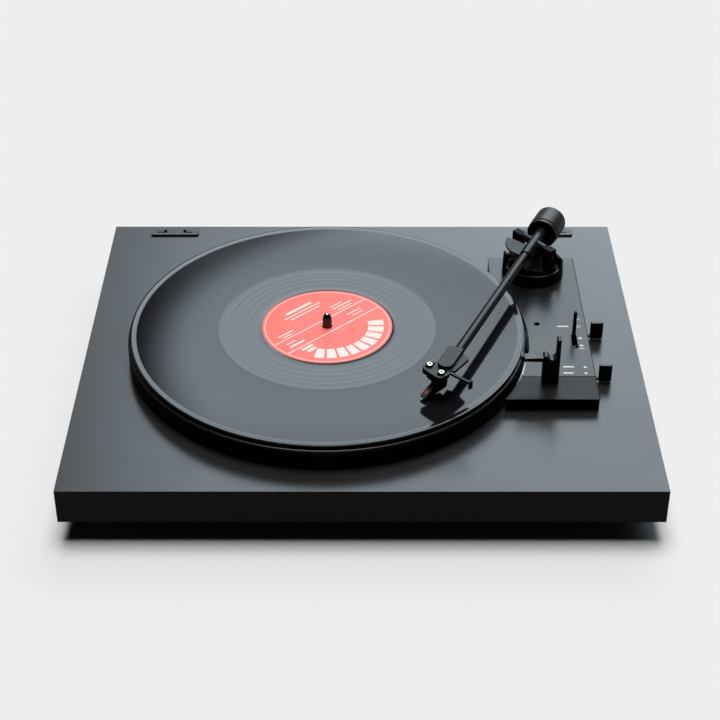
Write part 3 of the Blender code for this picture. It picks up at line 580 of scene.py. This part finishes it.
def make_lift():
    rod = fillet([(0, 35.1), (0.75, 35.1), (1.0, 34.6), (1.0, 33.6), (1.7, 33.2), (1.7, 31.0),
                  (0.9, 30.6), (0.9, -4.0), (0, -4.0)], 0.15, 2, False)
    lathe("lift_pin", rod, LIFT, BRASS, "lift", ("lift_rod",), 32)

    crescent = arc(0, 0, 23.2, 238, 178, 40)     # swings about the arm's pivot over the rod
    crescent += fillet([(-12.6, -1.2), (-5.05, -5.0), (-5.05, -22.0)], 0.8, 4, False)
    slab("lift_crescent", [crescent], -2.6, -0.8, ARM, SHELL_FINISH, "arm",
         ("lift_plate",), 0.35)


REST_Y, REST_THICK = -60.4, 7                    # rear face of the arm rest, and its thickness
CRADLE_X, CRADLE_RADIUS = 139.6, 2.9             # the round seat that the arm tube lies in


def make_rest():
    left, right, base, cradle, lug, horn = 133.2, 145.5, 10.3, 31.8, 35.0, 49.1
    outline = [(left, base), (right, base), (right, horn - 0.8), (right - 0.8, horn),
               (right - 2.0, horn), (right - 2.8, horn - 0.8), (right - 2.9, cradle + 2.6)]
    outline += arc(CRADLE_X, cradle + CRADLE_RADIUS, CRADLE_RADIUS, -20, -160, 20)
    outline += [(136.4, lug - 0.6), (135.6, lug), (134.4, lug), (left, lug - 0.9), (left, 33.6),
                (119.6, 33.0), (118.6, 35.0), (116.8, 35.2), (116.5, 31.0), (118.0, 30.3),
                (left, 29.8)]
    slab("rest_post", [outline], 0, REST_THICK, spot(0, REST_Y, 0) @ AHEAD, PLASTIC, "case",
         ("arm_rest",), 0.5)


# ---- levers and knobs ----------------------------------------------------------------------------
KNOB_LOW, KNOB_HIGH = (177.5, -1.5, 0.5), (187.4, 1.5, 15.7)
KNOB_Y = {"speed": 7.2, "start": -50.0}


def make_controls():
    block("cue_blade", (-1.45, -1.5, 0.5), (1.45, 1.5, 34.6), CUE, DARK_PLASTIC, "cue",
          ("cue_lever",), 0.55, 0.86)
    lathe("cue_hub", fillet([(0, 4.2), (4.0, 4.2), (4.0, -4.2), (0, -4.2)], 0.4, 3, False),
          CUE @ ACROSS, PLASTIC, "cue", steps=40)
    for body, y in KNOB_Y.items():
        block(f"{body}_button", KNOB_LOW, KNOB_HIGH, spot(0, y, 0), PLASTIC, body,
              (f"{body}_knob",), 1.1)


# ---- tonearm -------------------------------------------------------------------------------------
def make_arm():
    sleeve = fillet([(0, 23.5), (3.9, 23.5), (3.9, 23.1), (4.25, 23.5), (4.75, 23.3), (4.75, -14.0),
                     (0, -14.0)], 0.25, 3, False)
    lathe("arm_sleeve", sleeve, ARM @ AHEAD, ANODISED, "arm", ("gimbal_cross",))
    cross = [(0, 18.3), (1.4, 18.3), (1.4, 13.1), (3.3, 13.1)]
    cross += [(r, -z) for r, z in reversed(cross)]
    lathe("gimbal_tube", fillet(cross, 0.25, 3, False), GIMBAL @ ACROSS, ANODISED, "arm")
    tube = [(0, 171.7), (3.75, 171.7), (3.75, 23.8), (0, 23.8)]
    lathe("arm_wand", tube, ARM @ AHEAD, ANODISED, "arm", ("arm_tube",))
    stub = [(0, -14.3), (4.5, -14.3), (4.5, -41.0), (3.9, -41.6), (0, -41.6)]
    lathe("rear_stub", stub, ARM @ AHEAD, ANODISED, "arm", ("weight_stub",))


WEIGHT_RADIUS, WEIGHT_FRONT, WEIGHT_BACK = 12.6, -18.5, -44.0
WEIGHT_DROP = 2.0                                # the weight hangs this much below the arm's axis


def make_weight():
    r, front, back = WEIGHT_RADIUS, WEIGHT_FRONT, WEIGHT_BACK
    weight = [(0, front - 1.5), (6.6, front - 1.5), (6.6, front), (r - 0.9, front),
              (r - 0.3, front - 0.5), (r - 0.3, front - 3.0), (r - 0.9, front - 3.2),
              (r - 0.9, front - 3.8), (r, front - 4.1), (r, back + 1.0), (r - 1.0, back),
              (5.6, back), (5.6, back + 0.6), (0, back + 0.6)]
    lathe("weight_body", fillet(weight, 0.3, 3, False), spot(0, 0, -WEIGHT_DROP, base=ARM) @ AHEAD,
          WEIGHT_FINISH, "weight", ("counterweight",), 96)


SCREWS = {"left": -6.35, "right": 6.35}          # across the headshell
WEDGE_TOP, WEDGE_NOSE = (1.2, -10.4), (12.0, -17.7)          # sloping face of the stylus guard
MARK_AT = 8.2                                    # down that slope from its top


def make_headshell():
    plate = fillet([(-10.6, -2.0), (-9.6, 4.6), (-6.8, 7.0), (6.5, 7.0), (10.6, 4.5), (10.8, -3.5),
                    (9.4, -5.4), (4.0, -6.1), (-4.0, -6.1), (-8.6, -5.4)], 1.6, 4)
    slots = [fillet([(x - 1.65, -3.9), (x + 1.65, -3.9), (x + 1.65, 4.6), (x - 1.65, 4.6)], 1.6, 6)
             for x in SCREWS.values()]
    slab("shell_plate", [plate] + slots, -1.0, 1.3, SHELL, SHELL_FINISH, "arm",
         ("headshell",), 0.25)
    for name, front, low, high in (("shell_tongue", 199.3, -1.0, 3.9),
                                   ("shell_keel", 195.3, -3.2, 0)):
        outline = arc(-1.6, -front + 5.8, 5.8, 180, 360, 24) + [(4.2, -172.0), (-7.4, -172.0)]
        slab(name, [outline], low, high, ARM, SHELL_FINISH, "arm", edge=0.4)
    wing = fillet([(3.0, -173.5), (11.0, -179.2), (7.2, -198.0), (0.0, -200.0)], 1.0, 3)
    slab("shell_wing", [wing], -0.98, 1.28, ARM, SHELL_FINISH, "arm", edge=0.25)
    finger = [(8.4, 4.8), (27.6, 8.2), (27.6, 10.4), (8.0, 7.2)]
    slab("finger_lift", [finger], -0.8, 1.1, SHELL, SHELL_FINISH, "arm", edge=0.4)
    block("finger_tab", (26.4, 7.4, -4.6), (28.2, 10.8, 2.2), SHELL, SHELL_FINISH, "arm",
          edge=0.5)

    for side, x in SCREWS.items():
        head = [(0, 2.2), (0.7, 2.2), (0.7, 3.1), (2.1, 3.1), (2.45, 2.8), (2.45, 1.6),
                (1.2, 1.6), (1.2, -4.5), (0, -4.5)]
        lathe(f"shell_screw_{side}", fillet(head, 0.12, 2, False), spot(x, 0, 0, base=SHELL),
              CHROME, "arm", (f"cartridge_screw_{side}",), 40)


def make_cartridge():
    trunk = fillet([(-8.5, -3.6), (4.8, -3.6), (4.8, -5.6), (0.8, -10.2), (-1.9, -15.6),
                    (-7.8, -15.0), (-8.5, -10.0)], 0.5, 3)
    slab("cartridge_shell", [trunk], -4.3, 4.3, SHELL @ SIDE, DARK_PLASTIC, "arm",
         ("cartridge_body",), 0.35)
    flange = fillet([(-8.7, -5.4), (8.7, -5.4), (8.7, 6.6), (-8.7, 6.6)], 1.4, 4)
    slab("cartridge_flange", [flange], -3.8, -1.3, SHELL, DARK_PLASTIC, "arm",
         edge=0.3)
    wedge = [WEDGE_TOP, WEDGE_NOSE, (11.3, -19.1), (4.0, -18.8), (-7.4, -17.2), (-8.0, -15.4),
             (-1.5, -16.0)]
    slab("stylus_guard", [wedge], -2.6, 2.6, SHELL @ SIDE, STYLUS_GREY, "arm",
         ("stylus_unit",), 0.4)
    slope = (Vector(WEDGE_NOSE) - Vector(WEDGE_TOP)).normalized()
    middle = Vector(WEDGE_TOP) + slope * MARK_AT
    on_slope = (spot(middle.x, middle.y, 0, base=SHELL @ SIDE)
                @ Matrix.Rotation(asin(slope.y), 4, "Z"))
    block("stylus_mark", (-1.3, -0.05, -0.9), (1.3, 0.06, 0.9), on_slope, MARK_RED, "arm",
          edge=0.04)


# ---- printed marks on the panel, its seam line, and a strip of painted shade at its right edge ---
PANEL_TOP, NUMBER_SIZE = 10.0, 3.4
DOT = (1.15, 0, 345, 23)                         # radius, first and last angle, and steps


def number(text, x, y, size):
    """A speed in figures, a thin flat mesh on the panel."""
    curve = bpy.data.curves.new("number", "FONT")
    curve.body, curve.size, curve.extrude = text, size * MM, 0.012 * MM
    curve.align_x, curve.align_y = "CENTER", "CENTER"
    flat = bpy.data.objects.new("number", curve)
    scene.collection.objects.link(flat)
    mesh = bpy.data.meshes.new_from_object(
        flat.evaluated_get(bpy.context.evaluated_depsgraph_get()))
    bpy.data.objects.remove(flat)
    put(f"speed_number_{text}", mesh, spot(x, y, PANEL_TOP + 0.015), PRINT, "case",
        smooth=0)


def make_marks():
    number("45", 169.0, 19.7, NUMBER_SIZE)
    number("33", 168.5, 9.4, NUMBER_SIZE)
    low, high = PANEL_TOP + 0.003, PANEL_TOP + 0.03
    marks = {
        "speed_rule": bar(151.9, 9.0, 160.8, 10.6),
        "lift_up": [[(166.5, -7.6), (169.9, -7.6), (168.2, -4.4)]],
        "lift_down": [[(166.5, -15.6), (169.9, -15.6), (168.2, -18.6)]],
        "lift_line": bar(166.2, -21.0, 170.4, -20.2),
        "start_rule": bar(151.2, -45.7, 159.3, -44.1),
        "stop_rule": bar(150.8, -53.7, 158.3, -52.1),
        "start_dot": [arc(167.7, -45.3, *DOT)],
        "stop_dot": [arc(167.5, -53.3, *DOT)],
    }
    for name, loops in marks.items():
        slab(f"mark_{name}", loops, low, high, DECK, PRINT, "case", edge=0)
    # painted shade: a dark strip along the panel's right top edge, standing in for the shade and
    # dark reflection seen there
    slab("panel_edge_painted_shade", bar(174.0, -85.8, 174.5, 111.6), PANEL_TOP - 1.0, PANEL_TOP - 0.05, DECK,
         SEAM_AND_SHADE, "case", edge=0)
    slab("cover_seam", bar(119.6, -57.4, 173.8, -56.8), low, high, DECK, SEAM_AND_SHADE, "case",
         edge=0)


# ---- feet ----------------------------------------------------------------------------------------
FOOT_X, FOOT_Y = 162, 128                        # centres of the feet, either side of the middle


def make_feet():
    profile = [(0, -27.8), (20, -27.8), (20, -32.5), (18.6, -33.7), (19.4, -39.5), (18.4, -44.7),
               (17.2, -45.5), (0, -45.5)]
    for where, x, y in (("front_left", -1, -1), ("front_right", 1, -1),
                        ("rear_left", -1, 1), ("rear_right", 1, 1)):
        lathe(f"rubber_{where}", fillet(profile, 0.5, 3, False),
              spot(x * FOOT_X, y * FOOT_Y, 0), RUBBER, "case", (f"foot_{where}",), 72)


# ---- floor, light and camera ---------------------------------------------------------------------
FLOOR, FLOOR_HALF = (0.0620, 0.0612, 0.0608), 15             # colour, and half its side in metres
BACKDROP = (0.863, 0.863, 0.863, 1.0)            # what the camera sees behind the floor
WHITE, COOL = (1.0, 1.0, 1.0, 1.0), (0.86, 1.0, 1.10, 1.0)
BOX_LOW, BOX_HIGH = 11.5, 26.0                   # brightness of the softbox behind, by height
BOX_SLANT = 0.56                                 # the box reaches further left above this height
ABOVE, AMBIENT, LEAN = 150.0, 0.05, 8.0          # overhead light, and its lean to the rear
LENS, SENSOR = 83.38, 36.0
CAMERA_AT, CAMERA_TURN = (-0.00078, -1.07434, 0.77669), (55.10, 0, 0.035)     # metres, degrees


def make_floor():
    h = FLOOR_HALF
    mesh = bpy.data.meshes.new("studio_floor")
    mesh.from_pydata([(-h, -h, 0), (h, -h, 0), (h, h, 0), (-h, h, 0)], [], [(0, 1, 2, 3)])
    floor = bpy.data.objects.new("studio_floor", mesh)
    scene.collection.objects.link(floor)
    mesh.materials.append(Shader("floor_paper", FLOOR, 0.9, level=0.0).material)


def make_light():
    """A sky of soft light: a cool softbox behind, a lamp overhead and a little light all round."""
    world = bpy.data.worlds.new("studio")
    scene.world = world
    world.use_nodes = True
    nodes, links = world.node_tree.nodes, world.node_tree.links
    coords, split = nodes.new("ShaderNodeTexCoord"), nodes.new("ShaderNodeSeparateXYZ")
    links.new(coords.outputs["Generated"], split.inputs["Vector"])
    x, y, z = (split.outputs[axis] for axis in "XYZ")

    def ramp(source, low, high, to_low=0.0, to_high=1.0):
        """A smooth step of a value from one level to another."""
        made = nodes.new("ShaderNodeMapRange")
        made.interpolation_type = "SMOOTHSTEP"
        for key, value in zip(("From Min", "From Max", "To Min", "To Max"),
                              (low, high, to_low, to_high)):
            made.inputs[key].default_value = value
        links.new(source, made.inputs["Value"])
        return made.outputs["Result"]

    def calc(operation, first, second):
        made = nodes.new("ShaderNodeMath")
        made.operation = operation
        for socket, value in zip(made.inputs, (first, second)):
            if isinstance(value, (int, float)):
                socket.default_value = value
            else:
                links.new(value, socket)
        return made.outputs["Value"]

    def product(*values):
        total = values[0]
        for value in values[1:]:
            total = calc("MULTIPLY", total, value)
        return total

    def glow(color, strength=1.0):
        made = nodes.new("ShaderNodeBackground")
        made.inputs["Color"].default_value = color
        if isinstance(strength, (int, float)):
            made.inputs["Strength"].default_value = strength
        else:
            links.new(strength, made.inputs["Strength"])
        return made.outputs["Background"]

    slant = calc("ADD", x, calc("SUBTRACT", z, BOX_SLANT))
    softbox = product(
        ramp(y, 0.25, 0.5),                      # behind the object
        ramp(z, 0.22, 0.36), ramp(z, 0.86, 0.70),                # its lower and upper edges
        ramp(x, 0.75, 0.55), ramp(x, -0.20, -0.11),              # its right and left edges
        ramp(x, 0.75, 0.05, 0.7, 1.0),           # fainter to the right
        ramp(slant, -0.22, -0.11, 0.2, 1.0),     # the slanted part at the left
        ramp(z, 0.48, 0.66, BOX_LOW, BOX_HIGH))
    lean = radians(LEAN)
    up = calc("ADD", calc("MULTIPLY", z, cos(lean)), calc("MULTIPLY", y, sin(lean)))
    above = product(ramp(up, 0.93, 0.985), ABOVE)
    sky = nodes.new("ShaderNodeAddShader")
    links.new(glow(WHITE, calc("ADD", above, AMBIENT)), sky.inputs[0])
    links.new(glow(COOL, softbox), sky.inputs[1])

    path, mix = nodes.new("ShaderNodeLightPath"), nodes.new("ShaderNodeMixShader")
    links.new(path.outputs["Is Camera Ray"], mix.inputs["Fac"])
    links.new(sky.outputs["Shader"], mix.inputs[1])
    links.new(glow(BACKDROP), mix.inputs[2])
    links.new(mix.outputs["Shader"], nodes["World Output"].inputs["Surface"])


def make_camera():
    data = bpy.data.cameras.new("camera")
    data.lens, data.sensor_width = LENS, SENSOR
    data.clip_start, data.clip_end = 0.05, 60.0
    camera = bpy.data.objects.new("camera", data)
    camera.location = CAMERA_AT
    camera.rotation_euler = [radians(angle) for angle in CAMERA_TURN]
    scene.collection.objects.link(camera)
    scene.camera = camera


make_camera()
make_light()
make_floor()
make_platter()
make_record()
make_label()
make_spindle()
make_base()
make_lift()
make_rest()
make_controls()
make_arm()
make_weight()
make_headshell()
make_cartridge()
make_marks()
make_feet()
